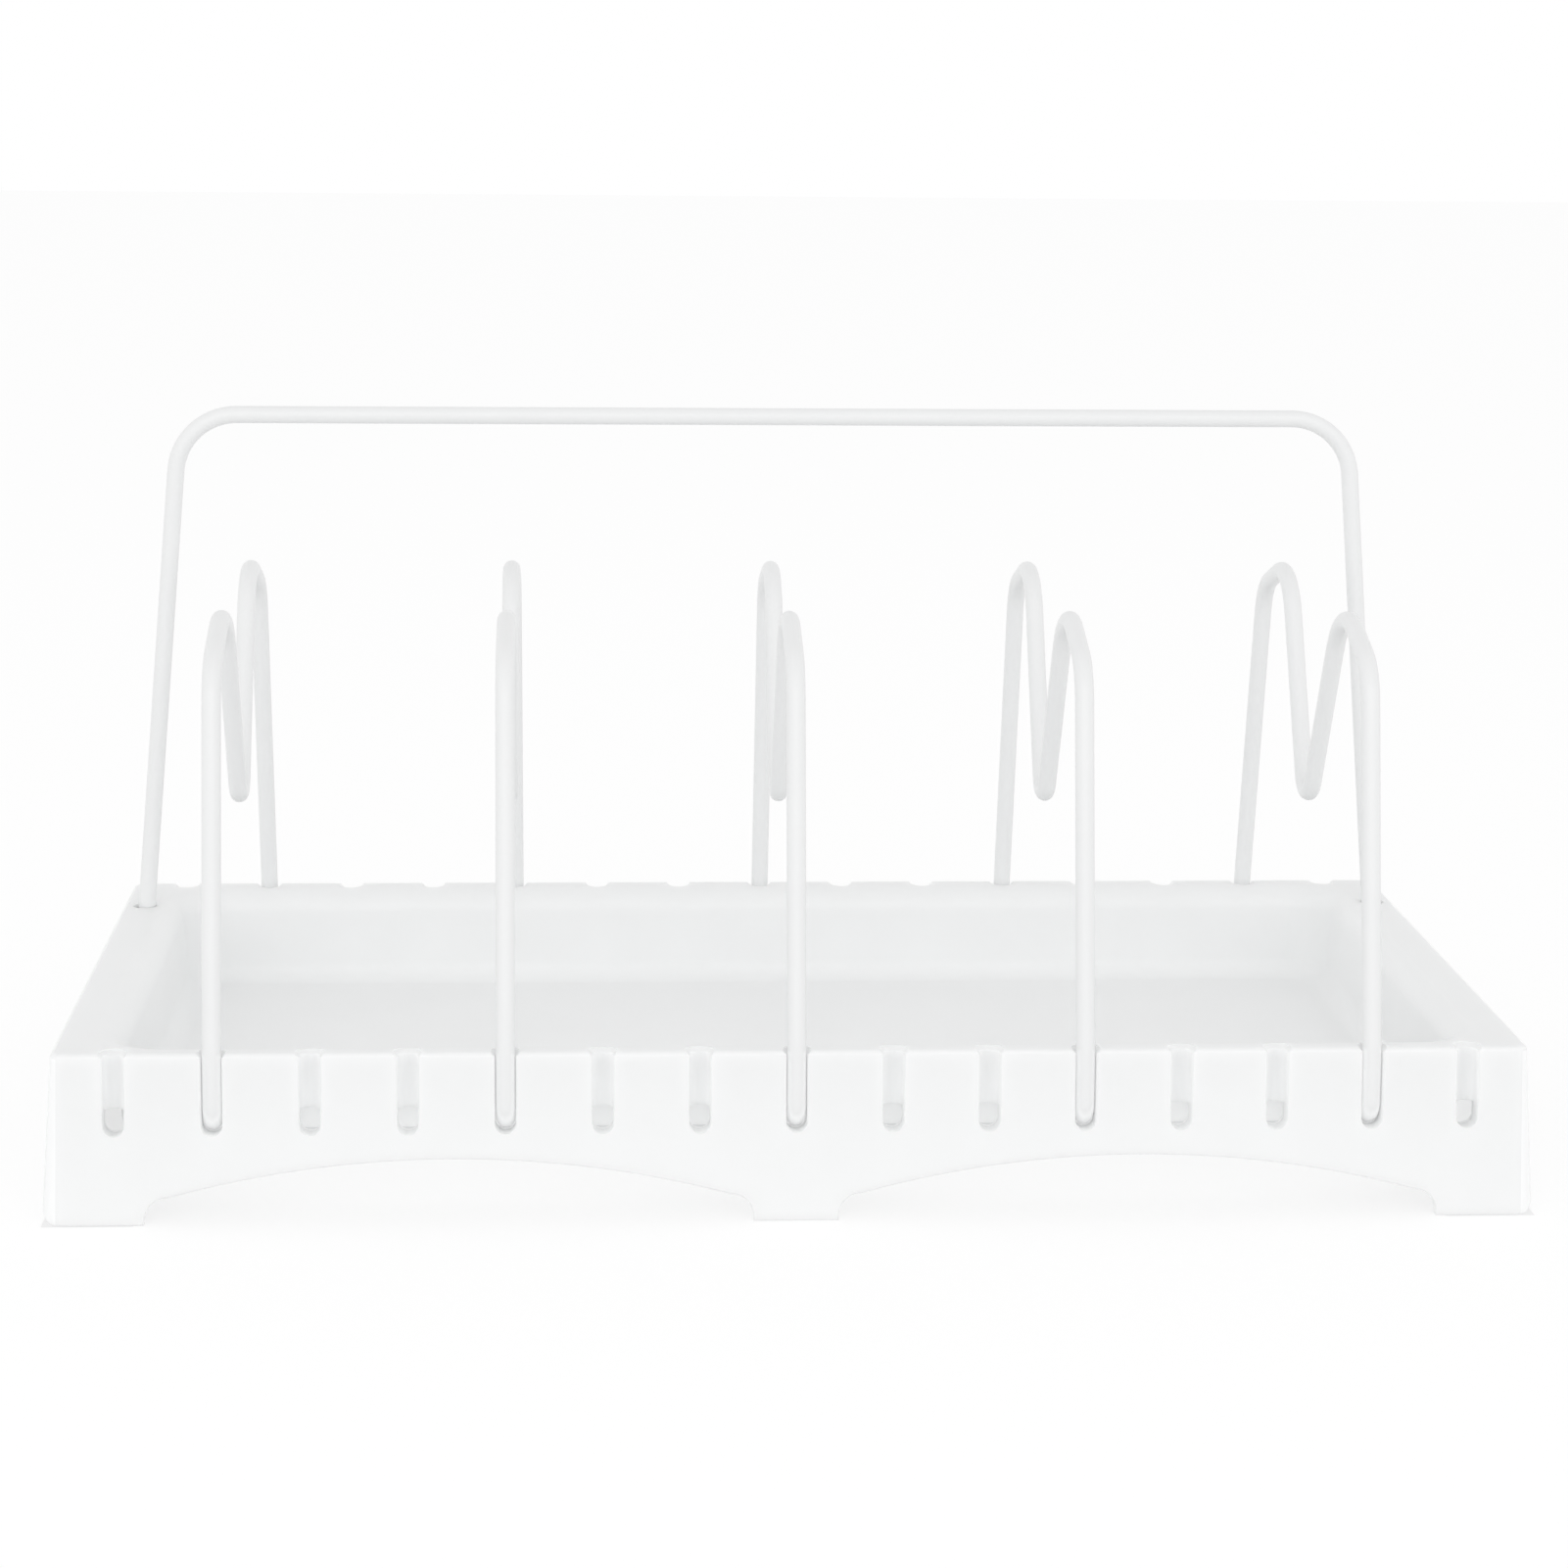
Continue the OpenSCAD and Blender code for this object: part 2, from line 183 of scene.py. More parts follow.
class LidRackFinishes(bpy.types.PropertyGroup):
    """Colours and surfaces."""

    plastic: colour("Plastic", "Colour of the moulded plastic", (0.905, 0.912, 0.912))
    plastic_shade: colour("Plastic shade", "Colour of its slightly darker patches", (0.885, 0.892, 0.893))
    plastic_rough: share("Plastic roughness", "Roughness of the moulded plastic", 0.42)
    plastic_glow: share("Plastic glow", "Share of the light that enters the plastic", 1.0)
    plastic_depth: millimetres("Plastic depth", "Distance that light travels in the plastic", 3)
    plastic_grain: millimetres("Plastic grain", "Size of the plastic's sparked grain", 0.45)
    plastic_ripple: millimetres("Plastic ripple", "Size of the plastic's flow ripples", 14)
    plastic_patch: millimetres("Plastic patch", "Size of the patches that differ in colour and gloss", 38)
    # Painted light: glows painted into the hollow between skirt and basin and onto the grooves' sides, and
    # the depth over which the grooves' glow fades
    hollow_painted_glow: share("Hidden leak", "Light that leaks through the thin walls into the hollow", 0.14)
    groove_painted_glow: share("Groove leak", "Light that leaks through the rim into the grooves' sides", 0.06)
    groove_fade: millimetres("Groove fade", "Depth over which that leak fades out at a groove's floor", 0.9)
    # Painted light: a glow painted onto the wires in the grooves, and the depth over which it grows
    wire_painted_glow: share("Wire leak", "Light that the grooves throw back onto the wires in them", 0.12)
    wire_fade: millimetres("Wire fade", "Depth over which the wires' leak grows, behind the outer face", 0.9)
    coat: colour("Coat", "Colour of the wires' coat", (0.872, 0.877, 0.877))
    coat_shade: colour("Coat shade", "Colour of its slightly darker patches", (0.85, 0.856, 0.858))
    coat_rough: share("Coat roughness", "Roughness of the wires' coat", 0.36)
    coat_peel: millimetres("Coat peel", "Size of the coat's orange peel", 1.1)
    coat_speck: millimetres("Coat speck", "Size of the specks in the coat", 0.35)
    coat_patch: millimetres("Coat patch", "Size of the patches that differ in colour and gloss", 22)


class LidRackStage(bpy.types.PropertyGroup):
    """Camera, light and floor."""

    focal_pixels: bpy.props.FloatProperty(
        name="Focal length", description="Focal length in pixels of the picture's side", default=3805.02
    )
    camera_place: bpy.props.FloatVectorProperty(
        name="Camera", description="Place of the camera", default=(-0.05859, -1.0227, 0.30183), size=3,
        subtype="TRANSLATION"
    )
    yaw: angle("Yaw", "Turn of the camera to the right", 3.369)
    pitch: angle("Pitch", "Tilt of the camera downwards", 11.419)
    roll: angle("Roll", "Turn of the camera about its own axis", -0.582)
    sky: bpy.props.FloatProperty(name="Sky", description="Strength of the light at the horizon", default=1.25)
    sky_fall: share("Sky fall", "How much weaker the light is straight above", 0.65)
    key: bpy.props.FloatProperty(name="Key", description="Power of the large front lamp", default=10)
    floor: colour("Floor", "Colour of the floor", (0.4, 0.4, 0.4))
    floor_glow: share("Floor glow", "Light that the floor gives off, as a light table does", 0.42)
    floor_lift: share("Floor lift", "What the camera sees added to the floor", 0.23)
    end_shade: share("End shade", "Share of the lift that is missing under the tray's closed ends", 0.55)


class Signal:
    """A number that varies over a surface; an expression on it adds Math nodes."""

    def __init__(self, finish, socket):
        self.finish = finish
        self.socket = socket

    def math(self, operation, first, second):
        return self.finish.node("ShaderNodeMath", {"operation": operation}, {0: first, 1: second})

    def __add__(self, other):
        return self.math("ADD", self, other)

    def __radd__(self, other):
        return self.math("ADD", other, self)

    def __sub__(self, other):
        return self.math("SUBTRACT", self, other)

    def __rsub__(self, other):
        return self.math("SUBTRACT", other, self)

    def __mul__(self, other):
        return self.math("MULTIPLY", self, other)

    def __rmul__(self, other):
        return self.math("MULTIPLY", other, self)


class Finish:
    """A node tree under construction."""

    def __init__(self, tree):
        self.tree = tree
        tree.nodes.clear()

    def node(self, kind, settings=None, inputs=None, output=0):
        """Adds a node: its settings first, then the values or links of its sockets."""
        made = self.tree.nodes.new(kind)
        for name, value in (settings or {}).items():
            setattr(made, name, value)
        for name, value in (inputs or {}).items():
            if isinstance(value, Signal):
                self.tree.links.new(value.socket, made.inputs[name])
            else:
                made.inputs[name].default_value = value
        return Signal(self, made.outputs[output]) if len(made.outputs) else None

    def noise(self, place, feature, detail=2.0):
        """Noise about 0.5, with features of the given size in metres."""
        return self.node(
            "ShaderNodeTexNoise", {"noise_dimensions": "3D"},
            {"Vector": place, "Scale": 1 / feature, "Detail": detail, "Roughness": 0.5}
        )

    def reach(self, place, axis):
        """Distance from the middle along an axis."""
        along = self.node("ShaderNodeSeparateXYZ", {}, {"Vector": place}, output=axis)
        return self.node("ShaderNodeMath", {"operation": "ABSOLUTE"}, {0: along})

    def above(self, value, limit):
        """1 where the value is above the limit, else 0."""
        return self.node("ShaderNodeMath", {"operation": "GREATER_THAN"}, {0: value, 1: limit})

    def ramp(self, value, length):
        """0 up to a value of 0, then growing to 1 over the length."""
        return self.node("ShaderNodeMath", {"operation": "DIVIDE", "use_clamp": True}, {0: value, 1: length})

    def blended(self, factor, first, second):
        """A colour between two colours."""
        return self.node(
            "ShaderNodeMix", {"data_type": "RGBA"},
            {0: factor, 6: (*first, 1), 7: (*second, 1)}, output=2
        )


def moulded_plastic():
    """White moulded plastic: satin, slightly uneven in gloss, with a fine sparked grain and flow ripples."""
    look = bpy.context.scene.lid_rack_finishes
    material = bpy.data.materials.new("moulded_plastic")
    material.use_nodes = True
    finish = Finish(material.node_tree)
    place = finish.node("ShaderNodeTexCoord", output="Object")
    grain = finish.noise(place, look.plastic_grain, detail=3.0)
    ripple = finish.noise(place, look.plastic_ripple)
    patches = finish.noise(place, look.plastic_patch, detail=3.0)
    # How much each noise adds to the bump's height and to the roughness
    grain_height, ripple_height = 0.012, 0.16
    patch_rough, grain_rough = 0.16, 0.1
    height = grain * grain_height + ripple * ripple_height
    bump = finish.node("ShaderNodeBump", {}, {"Strength": 0.55, "Distance": 0.25 * MM, "Height": height})
    surface = finish.node("ShaderNodeBsdfPrincipled", {}, {
        "Base Color": finish.blended(patches, look.plastic, look.plastic_shade),
        "Roughness": (patches - 0.5) * patch_rough + (grain - 0.5) * grain_rough + look.plastic_rough,
        "Normal": bump,
        "IOR": 1.49,
        "Subsurface Weight": look.plastic_glow,
        "Subsurface Radius": (1.0, 1.0, 1.0),
        "Subsurface Scale": look.plastic_depth,
        # Painted light: the emission is a glow painted into the grooves and the hollow
        "Emission Color": painted_glow_in_tray(finish, place),
        "Emission Strength": 1.0,
    })
    finish.node("ShaderNodeOutputMaterial", {}, {"Surface": surface})
    return material


class TrayDepths:
    """Where the shaded point lies from the tray's middle and behind its leaning outer faces."""

    def __init__(self, finish, place):
        lean = math.tan(bpy.context.scene.lid_rack_tray.draft)
        self.below = TRAY_HIGH.z - finish.node("ShaderNodeSeparateXYZ", {}, {"Vector": place}, output="Z")
        self.half_l, self.half_w = (side - TRAY_HIGH.z * lean for side in (TRAY_HIGH.x, TRAY_HIGH.y))
        self.reach_x = finish.reach(place, "X")
        self.reach_y = finish.reach(place, "Y")
        spread = self.below * lean
        self.deep_x = self.half_l + spread - self.reach_x
        self.deep_y = self.half_w + spread - self.reach_y


def painted_glow_on_wire(finish, place):
    """Painted light: a glow on the sides of a wire where it stands in a groove, which lightens the groove's
    shade on it.
    """
    look = bpy.context.scene.lid_rack_finishes
    s = bpy.context.scene.lid_rack_tray
    at = TrayDepths(finish, place)
    strength = finish.ramp(at.deep_y - s.groove_edge / 2, look.wire_fade) * finish.ramp(at.below, s.mouth)
    strength = strength * (1 - finish.above(at.deep_y, s.groove_depth)) * look.wire_painted_glow
    return finish.blended(strength, (0, 0, 0), (1, 1, 1))


def painted_glow_in_tray(finish, place):
    """Painted light: a faint glow on the grooves' sides and a stronger one in the hollow between skirt and
    basin, which lightens the shade there.
    """
    look = bpy.context.scene.lid_rack_finishes
    s = bpy.context.scene.lid_rack_tray
    at = TrayDepths(finish, place)
    in_groove = finish.above(at.deep_y, s.groove_edge / 2) * finish.above(at.below, s.wall / 2)
    in_groove = in_groove * finish.ramp(s.groove_depth - at.deep_y, look.groove_fade)
    past_end = finish.above(at.reach_x, at.half_l - s.end_rim + s.wall / 2)
    past_side = finish.above(at.reach_y, at.half_w - s.side_rim + s.wall / 2)
    under_floor = finish.above(at.below, TRAY_HIGH.z - s.floor_height + s.wall / 2)
    outside_basin = finish.above(past_end + past_side + under_floor, 0.5)
    inside_skirt = finish.above(at.deep_x, s.wall / 2) * finish.above(at.deep_y, s.groove_depth + s.wall / 4)
    hidden = outside_basin * inside_skirt * finish.above(at.below, s.lip)
    strength = in_groove * look.groove_painted_glow + hidden * look.hollow_painted_glow
    return finish.blended(strength, (0, 0, 0), (1, 1, 1))


def powder_coat():
    """White powder coat on wire: satin, with the fine orange peel of a baked coat."""
    look = bpy.context.scene.lid_rack_finishes
    material = bpy.data.materials.new("powder_coat")
    material.use_nodes = True
    finish = Finish(material.node_tree)
    place = finish.node("ShaderNodeTexCoord", output="Object")
    peel = finish.noise(place, look.coat_peel, detail=1.5)
    speck = finish.noise(place, look.coat_speck)
    patches = finish.noise(place, look.coat_patch)
    # How much each noise adds to the bump's height and to the roughness
    peel_height, speck_height = 0.4, 0.06
    patch_rough, peel_rough = 0.14, 0.12
    height = peel * peel_height + speck * speck_height
    bump = finish.node("ShaderNodeBump", {}, {"Strength": 0.5, "Distance": 0.1 * MM, "Height": height})
    surface = finish.node("ShaderNodeBsdfPrincipled", {}, {
        "Base Color": finish.blended(patches, look.coat, look.coat_shade),
        "Roughness": (patches - 0.5) * patch_rough + (peel - 0.5) * peel_rough + look.coat_rough,
        "Normal": bump,
        "IOR": 1.5,
        # Painted light: the emission is a glow painted onto the wires in the grooves
        "Emission Color": painted_glow_on_wire(finish, place),
        "Emission Strength": 1.0,
    })
    finish.node("ShaderNodeOutputMaterial", {}, {"Surface": surface})
    return material


def finish_named(name, make):
    """The material of that name, made at its first use."""
    return bpy.data.materials.get(name) or make()


def arc(mid, radius, start, end, steps):
    """Points along a round about a middle, from one angle to another in degrees."""
    turns = [math.radians(start + (end - start) * i / steps) for i in range(steps + 1)]
    return [(mid[0] + radius * math.cos(t), mid[1] + radius * math.sin(t)) for t in turns]


def add_loft(bm, rings):
    """Adds a closed skin through rings that have as many points each, with a flat cap at both ends."""
    rows = [[bm.verts.new(p) for p in ring] for ring in rings]
    count = len(rows[0])
    for low, high in zip(rows, rows[1:]):
        for i in range(count):
            j = (i + 1) % count
            bm.faces.new((low[i], low[j], high[j], high[i]))
    bm.faces.new(rows[0])
    bm.faces.new(rows[-1])


def object_from(bm, name):
    """A mesh object of what was built, with its faces turned outwards."""
    bmesh.ops.recalc_face_normals(bm, faces=bm.faces)
    mesh = bpy.data.meshes.new(name)
    bm.to_mesh(mesh)
    bm.free()
    made = bpy.data.objects.new(name, mesh)
    bpy.context.scene.collection.objects.link(made)
    return made


def carve(body, tool, operation):
    """Joins a tool to a body or cuts it away, and removes the tool."""
    step = body.modifiers.new("carve", "BOOLEAN")
    step.operation = operation
    step.solver = "EXACT"
    step.object = tool
    graph = bpy.context.evaluated_depsgraph_get()
    mesh = bpy.data.meshes.new_from_object(body.evaluated_get(graph))
    body.modifiers.clear()
    old = body.data
    body.data = mesh
    mesh.name = body.name
    bpy.data.meshes.remove(old)
    bpy.data.objects.remove(tool)


def smooth_with_creases(made, crease):
    """Takes slivers away and shades a mesh smooth, apart from the edges that turn by more than an angle."""
    bm = bmesh.new()
    bm.from_mesh(made.data)
    bmesh.ops.dissolve_degenerate(bm, dist=SLIVER, edges=bm.edges)
    for face in bm.faces:
        face.smooth = True
    for edge in bm.edges:
        edge.smooth = edge.calc_face_angle(math.pi) < crease
    bm.to_mesh(made.data)
    bm.free()


class TrayShape:
    """Works out the tray's shapes from its sizes."""

    corner_steps = 14
    edge_steps = 6
    lip_steps = 12
    fillet_steps = 10
    round_steps = 20
    flare_steps = 4
    foot_edge_steps = 3
    arch_steps = 48
    low_corner_steps = 10
    # How far the round between foot and arch turns, in degrees, before the arch goes on
    foot_turn = 86

    def __init__(self):
        self.size = bpy.context.scene.lid_rack_tray
        self.wires = bpy.context.scene.lid_rack_wires
        self.slope = math.tan(self.size.draft)
        self.height = TRAY_HIGH.z
        self.low_mid = TRAY_HIGH.x - self.size.low_corner
        low_face = self.low_mid + self.size.low_corner * (self.slope + 1 / math.cos(self.size.draft))
        self.half_l = low_face - self.height * self.slope
        self.half_w = TRAY_HIGH.y - self.height * self.slope
        self.groove_r = self.wires.thick / 2 + self.size.groove_clear
        self.groove_mid = self.size.groove_depth - self.groove_r

    def loop(self, outline, inset, z):
        """A rounded rectangle, inset from an outline of (half length, half width, corner radius)."""
        half_l, half_w, corner = outline
        radius = corner - inset
        points = []
        for quarter, (sx, sy) in enumerate(((1, 1), (-1, 1), (-1, -1), (1, -1))):
            mid = (sx * (half_l - corner), sy * (half_w - corner))
            points += arc(mid, radius, 90 * quarter, 90 * quarter + 90, self.corner_steps)
        return [(x, y, z) for x, y in points]

    def basin_section(self, floor, thick):
        """Inset and height of the basin's wall, from the floor's edge up to the rim, without a kink."""
        s = self.size
        slope, lean = math.tan(s.basin_draft), math.degrees(s.basin_draft)
        aslant = 1 / math.cos(s.basin_draft)
        fillet = s.basin_fillet + thick
        low_inset = (self.height - s.lip - floor) * slope - thick * aslant
        section = arc((low_inset + fillet * (aslant - slope), floor + fillet), fillet, 270, 180 + lean,
                      self.fillet_steps)
        section += arc((-s.lip * aslant, self.height - s.lip), s.lip - thick, lean, 90, self.lip_steps)
        return section

    def shell(self):
        """The tray without slots, arches and sockets."""
        s = self.size
        h = self.height
        edge = s.foot_edge
        outer = (self.half_l, self.half_w, s.corner)
        inner = (self.half_l, self.half_w, s.inner_corner + s.wall)
        basin = (self.half_l - s.end_rim, self.half_w - s.side_rim, s.basin_corner)
        outer_low = -h * self.slope
        inner_low = s.wall - h * self.slope
        top = self.basin_section(s.floor_height, 0)
        skirt = arc((s.rim_edge, h - s.rim_edge), s.rim_edge, 90, 180, self.edge_steps)
        skirt += arc((outer_low + edge, edge), edge, 180, 270, self.foot_edge_steps)
        hollow = arc((inner_low - edge, edge), edge, 270, 360, self.foot_edge_steps)
        hollow.append((s.wall - s.wall * self.slope, h - s.wall))
        under = self.basin_section(s.floor_height - s.wall, s.wall)
        rings = [self.loop(basin, inset, z) for inset, z in top]
        rings += [self.loop(outer, inset, z) for inset, z in skirt]
        rings += [self.loop(inner, inset, z) for inset, z in hollow]
        rings += [self.loop(basin, inset, z) for inset, z in reversed(under)]
        bm = bmesh.new()
        add_loft(bm, rings)
        return object_from(bm, "lid_rack_tray")

    def face_places(self, places):
        """Matrices that stand a shape against the long walls: x along, y in behind the face, z up it."""
        lean = Matrix.Rotation(-self.size.draft, 4, "X")
        for side in (1, -1):
            for x in places:
                flip = Matrix.Diagonal((1, side, 1, 1))
                yield flip @ Matrix.Translation((x, -self.half_w, self.height)) @ lean

    def slot_places(self):
        """Where the slots are along the walls."""
        count = self.size.slots_aside
        return [i * self.size.slot_pitch for i in range(-count, count + 1)]

    def down_face(self, z):
        """Distance down the leaning face for a height above the floor."""
        return (self.height - z) / math.cos(self.size.draft)

    def on_faces(self, places, rings, tool_name):
        """The same closed shape at every place on both long walls."""
        bm = bmesh.new()
        for place in self.face_places(places):
            add_loft(bm, [[place @ Vector(p) for p in ring] for ring in rings])
        return object_from(bm, tool_name)

    def flare(self, edge):
        """Depths and widenings of a hole's rounded edge, from outside the face inwards."""
        out = [(-PAST, edge)]
        for i in range(self.flare_steps + 1):
            turn = math.radians(90 * i / self.flare_steps)
            out.append((edge * (1 - math.cos(turn)), edge * (1 - math.sin(turn))))
        return out

    def slot_backs(self):
        """Walls that wrap round the backs of the grooves, inside the skirt."""
        s = self.size
        r = self.groove_r + s.wall
        outline = [(-r, s.wall / 2)]
        outline += [(x, self.groove_mid - y) for x, y in arc((0, 0), r, 180, 360, self.round_steps)]
        outline += [(r, s.wall / 2)]
        ends = (-self.down_face(s.hole_low - s.wall), -s.wall / 2)
        return self.on_faces(self.slot_places(), [[(x, y, z) for x, y in outline] for z in ends], "backs")

    def grooves(self):
        """The grooves, with rounded long edges and a mouth that widens at 45 degrees up to the rim."""
        s = self.size
        edge = s.groove_edge
        turns = [math.radians(90 * i / self.edge_steps) for i in range(self.edge_steps + 1)]
        mouth = [(-s.mouth * math.cos(turn), s.mouth * (1 - math.cos(turn))) for turn in turns]
        steps = [(-self.down_face(s.hole_low + s.hole_tall) - LAP, 0)] + mouth + [(PAST, s.mouth)]
        rings = []
        for z, wider in steps:
            r = self.groove_r + wider
            left = [(-r - edge, -PAST)] + arc((-r - edge, edge), edge, -90, 0, self.flare_steps)
            back = [(x, self.groove_mid - y) for x, y in arc((0, 0), r, 180, 360, self.round_steps)]
            right = [(-x, y) for x, y in reversed(left)]
            rings.append([(x, y, z) for x, y in left + back + right])
        return self.on_faces(self.slot_places(), rings, "grooves")

    def clip_holes(self):
        """The clip holes: flat top, straight sides, round bottom."""
        s = self.size
        top = -self.down_face(s.hole_low + s.hole_tall)
        mid = -self.down_face(s.hole_low) + self.groove_r
        rings = []
        for y, wider in self.flare(s.small_edge) + [(s.groove_depth + s.wall + PAST, 0)]:
            r = self.groove_r + wider
            outline = [(r, top + wider), (-r, top + wider)]
            outline += arc((0, mid), r, 180, 360, self.round_steps)
            rings.append([(x, y, z) for x, z in outline])
        return self.on_faces(self.slot_places(), rings, "holes")

    def arches(self):
        """The arches between the feet, cut square through the leaning walls."""
        s = self.size
        low_x = s.mid_foot / 2
        high_x = self.half_l - s.end_foot
        half = (high_x - low_x) / 2 - s.foot_round
        rise = s.arch_height - s.arch_spring
        radius = (half * half + rise * rise) / (2 * rise)
        reach = math.degrees(math.asin(half / radius))
        foot_mid = s.arch_spring - s.foot_round
        rings = []
        for y, wider in self.flare(s.small_edge) + [(s.wall + PAST, 0)]:
            r = s.foot_round + wider
            outline = [(half + r, -2 * PAST)]
            outline += arc((half, foot_mid), r, 0, self.foot_turn, self.round_steps)
            crown_mid = (0, s.arch_height - radius)
            outline += arc(crown_mid, radius + wider, 90 - reach, 90 + reach, self.arch_steps)
            outline += arc((-half, foot_mid), r, 180 - self.foot_turn, 180, self.round_steps)
            outline += [(-half - r, -2 * PAST)]
            rings.append([(x, y, -self.down_face(z)) for x, z in outline])
        middle = (low_x + high_x) / 2
        return self.on_faces([-middle, middle], rings, "arches")

    def low_corners(self):
        """What the rounded lower corners take off at both ends, along the whole width."""
        r = self.size.low_corner
        mid = self.low_mid
        lean = math.degrees(self.size.draft)
        outline = [(mid, -PAST)] + arc((mid, r), r, -90, lean, self.low_corner_steps)
        # The cutter reaches well past the end and past both sides
        outline += [(mid + 2 * r, outline[-1][1]), (mid + 2 * r, -PAST)]
        bm = bmesh.new()
        for side in (1, -1):
            add_loft(bm, [[(side * x, y, z) for x, z in outline] for y in (2 * TRAY_LOW.y, 2 * TRAY_HIGH.y)])
        return object_from(bm, "low_corners")

    def socket_rings(self, steps):
        """An upright socket with round ends, long enough for the bow's splayed leg; steps widen it."""
        w = self.wires
        radius = w.thick / 2 + w.bow_clear
        splay = w.bow_plug * math.tan(w.bow_lean)
        bow_x = BOW_HIGH.x - w.thick / 2 * math.cos(w.bow_lean) - splay
        bow_y = (BOW_LOW.y + BOW_HIGH.y) / 2
        rings = []
        for z, wider in steps:
            r = radius + wider
            outline = arc((bow_x + splay, bow_y), r, -90, 90, self.round_steps)
            outline += arc((bow_x, bow_y), r, 90, 270, self.round_steps)
            rings.append([(x, y, z) for x, y in outline])
        return rings

    def both_ends(self, rings, tool_name):
        """The same closed shape at both ends of the tray."""
        bm = bmesh.new()
        for side in (1, -1):
            add_loft(bm, [[(side * x, y, z) for x, y, z in ring] for ring in rings])
        return object_from(bm, tool_name)

    def socket_floor(self):
        """Height of a socket's floor."""
        w = self.wires
        return self.height - w.bow_plug - w.bow_seat_gap - w.thick / 2 * math.sin(w.bow_lean)

    def socket_posts(self):
        """The walls round the bow's sockets, under the rim."""
        s = self.size
        steps = [(self.socket_floor() - s.wall, s.wall), (self.height - s.wall / 2, s.wall)]
        return self.both_ends(self.socket_rings(steps), "posts")

    def sockets(self):
        """The bow's sockets, with a rounded edge at the rim."""
        edge = [(self.height - depth, wider) for depth, wider in self.flare(self.size.small_edge)]
        steps = [(self.socket_floor(), 0)] + edge[::-1]
        return self.both_ends(self.socket_rings(steps), "sockets")


def wire_run(corners, bends, straight_step, turn_step):
    """Points and headings along a wire bent in a plane, given its corners and bend radii."""
    run = []
    start = Vector(corners[0])
    for i, corner in enumerate(corners[1:-1], 1):
        here = Vector(corner)
        way_in = (here - Vector(corners[i - 1])).normalized()
        way_out = (Vector(corners[i + 1]) - here).normalized()
        turn = math.atan2(way_in.x * way_out.y - way_in.y * way_out.x, way_in.dot(way_out))
        taken = bends[i] * math.tan(abs(turn) / 2)
        add_straight(run, start, here - way_in * taken, straight_step)
        side = math.copysign(1, turn)
        mid = here - way_in * taken + side * bends[i] * Vector((-way_in.y, way_in.x))
        steps = max(2, math.ceil(abs(turn) / turn_step))
        first = math.atan2(way_in.y, way_in.x)
        for k in range(1, steps):
            heading = first + turn * k / steps
            way = Vector((math.cos(heading), math.sin(heading)))
            run.append((mid - side * bends[i] * Vector((-way.y, way.x)), way))
        start = here + way_out * taken
    add_straight(run, start, Vector(corners[-1]), straight_step)
    return run


def add_straight(run, start, end, step):
    """Adds points and headings along a straight stretch, both ends included."""
    way = (end - start).normalized()
    count = max(1, math.ceil((end - start).length / step))
    for k in range(count + 1):
        run.append((start.lerp(end, k / count), way))


def wire_object(name, run, place, round_start, round_end):
    """A round wire along a run, closed at both ends. place turns (across, up, out) into a point."""
    wires = bpy.context.scene.lid_rack_wires
    radius = wires.thick / 2
    steps = []
    if round_start:
        steps += rounded_end(run[0], radius, wires.end_round, -1)
    steps += [(point, way, radius) for point, way in run[bool(round_start):len(run) - bool(round_end)]]
    if round_end:
        steps += rounded_end(run[-1], radius, wires.end_round, 1)[::-1]
    rings = []
    for point, way, r in steps:
        ring = []
        for k in range(wires.sides):
            turn = 2 * math.pi * k / wires.sides
            off = Vector((-way.y, way.x)) * (r * math.cos(turn))
            ring.append(place(point.x + off.x, point.y + off.y, r * math.sin(turn)))
        rings.append(ring)
    bm = bmesh.new()
    add_loft(bm, rings)
    made = object_from(bm, name)
    smooth_with_creases(made, WIRE_CREASE)
    made.data.materials.append(finish_named("powder_coat", powder_coat))
    return made


def rounded_end(last, radius, edge, side):
    """Steps of a rounded wire end, from its tip inwards; side says which way the wire ends."""
    point, way = last
    steps = []
    for k in range(END_STEPS + 1):
        back = edge * (1 - math.sin(math.radians(90 * k / END_STEPS)))
        steps.append((point - side * way * (edge - back), way, radius - back))
    return steps


class LIDRACK_OT_tray(bpy.types.Operator):
    """Models the moulded tray in place of its plain solid"""

    bl_idname = "lid_rack.tray"
    bl_label = "Moulded tray"

    def execute(self, context):
        shape = TrayShape()
        tray = shape.shell()
        carve(tray, shape.slot_backs(), "UNION")
        carve(tray, shape.socket_posts(), "UNION")
        for cutter in (shape.grooves, shape.clip_holes, shape.sockets, shape.arches, shape.low_corners):
            carve(tray, cutter(), "DIFFERENCE")
        smooth_with_creases(tray, TRAY_CREASE)
        normals = tray.modifiers.new("flat faces stay flat", "WEIGHTED_NORMAL")
        normals.keep_sharp = True
        tray.data.materials.append(finish_named("moulded_plastic", moulded_plastic))
        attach(tray, "root")
        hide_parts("tray")
        return {"FINISHED"}


